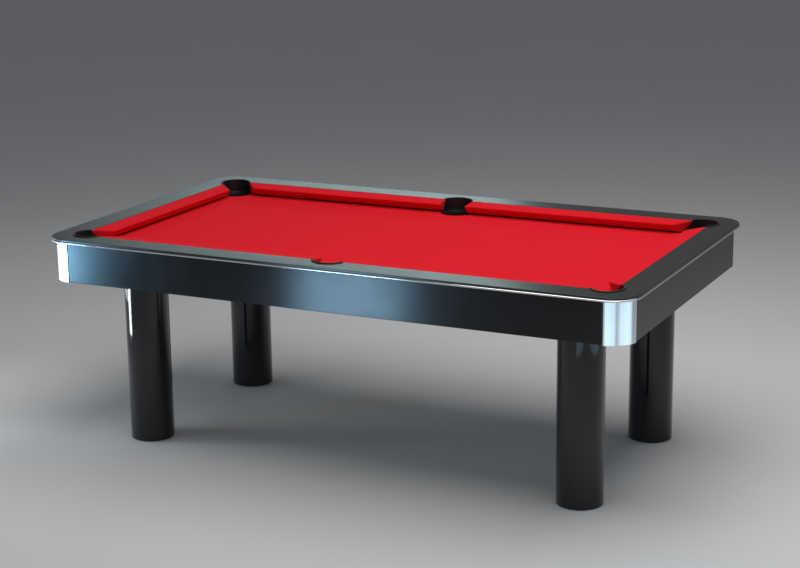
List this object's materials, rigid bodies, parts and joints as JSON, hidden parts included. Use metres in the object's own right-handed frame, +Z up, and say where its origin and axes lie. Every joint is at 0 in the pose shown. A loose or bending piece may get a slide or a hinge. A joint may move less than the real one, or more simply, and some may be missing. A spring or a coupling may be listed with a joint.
{
  "type": "pocket pool table",
  "caption": "Pocket pool table: black rails with bright trim, red cloth bed and cushions, drop pockets, aluminium corner caps and round black legs on screw feet.",
  "frame": {"origin": "on the floor under the middle of the table, at the bottom centre of its box", "axes": "+X along the length, +Y across to the back long side, +Z up"},
  "size_m": [2.32, 1.33, 0.8285],
  "materials": {
    "red_cloth": "napped worsted wool cloth, matt",
    "black_laminate": "satin black laminate",
    "black_gloss": "gloss black lacquered laminate",
    "chrome_trim": "bright chrome",
    "polished_aluminium": "polished, faintly brushed",
    "pocket_black": "moulded black, low sheen",
    "slate": "ground slate",
    "cushion_rubber": "natural gum rubber",
    "frame_wood": "sealed timber",
    "zinc_steel": "zinc plated",
    "base_plastic": "moulded black nylon"
  },
  "bodies": {
    "root": {"rail_front": "black_laminate", "apron_front": "black_gloss", "rail_back": "black_laminate", "apron_back": "black_gloss", "rail_left": "black_laminate", "apron_left": "black_gloss", "rail_right": "black_laminate", "apron_right": "black_gloss", "cushion_rubber_front_left": "cushion_rubber", "cushion_cloth_front_left": "red_cloth", "cushion_rubber_front_right": "cushion_rubber", "cushion_cloth_front_right": "red_cloth", "cushion_rubber_back_left": "cushion_rubber", "cushion_cloth_back_left": "red_cloth", "cushion_rubber_back_right": "cushion_rubber", "cushion_cloth_back_right": "red_cloth", "cushion_rubber_left": "cushion_rubber", "cushion_cloth_left": "red_cloth", "cushion_rubber_right": "cushion_rubber", "cushion_cloth_right": "red_cloth", "bed_cloth": "red_cloth", "bed_slate": "slate", "trim_left_half": "chrome_trim", "trim_right_half": "chrome_trim", "corner_cap_front_left": "polished_aluminium", "leg_tube_front_left": "black_gloss", "leg_top_plate_front_left": "zinc_steel", "leg_base_front_left": "base_plastic", "corner_cap_front_right": "polished_aluminium", "leg_tube_front_right": "black_gloss", "leg_top_plate_front_right": "zinc_steel", "leg_base_front_right": "base_plastic", "corner_cap_back_left": "polished_aluminium", "leg_tube_back_left": "black_gloss", "leg_top_plate_back_left": "zinc_steel", "leg_base_back_left": "base_plastic", "corner_cap_back_right": "polished_aluminium", "leg_tube_back_right": "black_gloss", "leg_top_plate_back_right": "zinc_steel", "leg_base_back_right": "base_plastic", "pocket_front_left": "pocket_black", "pocket_front_right": "pocket_black", "pocket_back_left": "pocket_black", "pocket_back_right": "pocket_black", "pocket_front_middle": "pocket_black", "pocket_back_middle": "pocket_black", "beam_front": "frame_wood", "beam_back": "frame_wood", "cross_beam_left": "frame_wood", "cross_beam_middle": "frame_wood", "cross_beam_right": "frame_wood"},
    "foot_front_left": {"leveller_pad_front_left": "base_plastic"},
    "screw_front_left": {"leveller_screw_front_left": "zinc_steel"},
    "foot_front_right": {"leveller_pad_front_right": "base_plastic"},
    "screw_front_right": {"leveller_screw_front_right": "zinc_steel"},
    "foot_back_left": {"leveller_pad_back_left": "base_plastic"},
    "screw_back_left": {"leveller_screw_back_left": "zinc_steel"},
    "foot_back_right": {"leveller_pad_back_right": "base_plastic"},
    "screw_back_right": {"leveller_screw_back_right": "zinc_steel"}
  },
  "joints": [
    {"name": "foot_travel_front_left", "type": "slide", "parent": "root", "child": "foot_front_left", "axis": [0, 0, -1], "range_m": [0, 0.021]},
    {"name": "screw_turn_front_left", "type": "hinge", "parent": "foot_front_left", "child": "screw_front_left", "pos_m": [-0.8855, -0.3845, 0.0045], "axis": [0, 0, -1], "range_deg": [0, 4320]},
    {"name": "foot_travel_front_right", "type": "slide", "parent": "root", "child": "foot_front_right", "axis": [0, 0, -1], "range_m": [0, 0.021]},
    {"name": "screw_turn_front_right", "type": "hinge", "parent": "foot_front_right", "child": "screw_front_right", "pos_m": [0.8855, -0.3845, 0.0045], "axis": [0, 0, -1], "range_deg": [0, 4320]},
    {"name": "foot_travel_back_left", "type": "slide", "parent": "root", "child": "foot_back_left", "axis": [0, 0, -1], "range_m": [0, 0.021]},
    {"name": "screw_turn_back_left", "type": "hinge", "parent": "foot_back_left", "child": "screw_back_left", "pos_m": [-0.8855, 0.3845, 0.0045], "axis": [0, 0, -1], "range_deg": [0, 4320]},
    {"name": "foot_travel_back_right", "type": "slide", "parent": "root", "child": "foot_back_right", "axis": [0, 0, -1], "range_m": [0, 0.021]},
    {"name": "screw_turn_back_right", "type": "hinge", "parent": "foot_back_right", "child": "screw_back_right", "pos_m": [0.8855, 0.3845, 0.0045], "axis": [0, 0, -1], "range_deg": [0, 4320]}
  ],
  "couplings": [
    {"joint": "screw_turn_front_left", "follows": "foot_travel_front_left", "rad_per_m": 3590.4},
    {"joint": "screw_turn_front_right", "follows": "foot_travel_front_right", "rad_per_m": 3590.4},
    {"joint": "screw_turn_back_left", "follows": "foot_travel_back_left", "rad_per_m": 3590.4},
    {"joint": "screw_turn_back_right", "follows": "foot_travel_back_right", "rad_per_m": 3590.4}
  ]
}
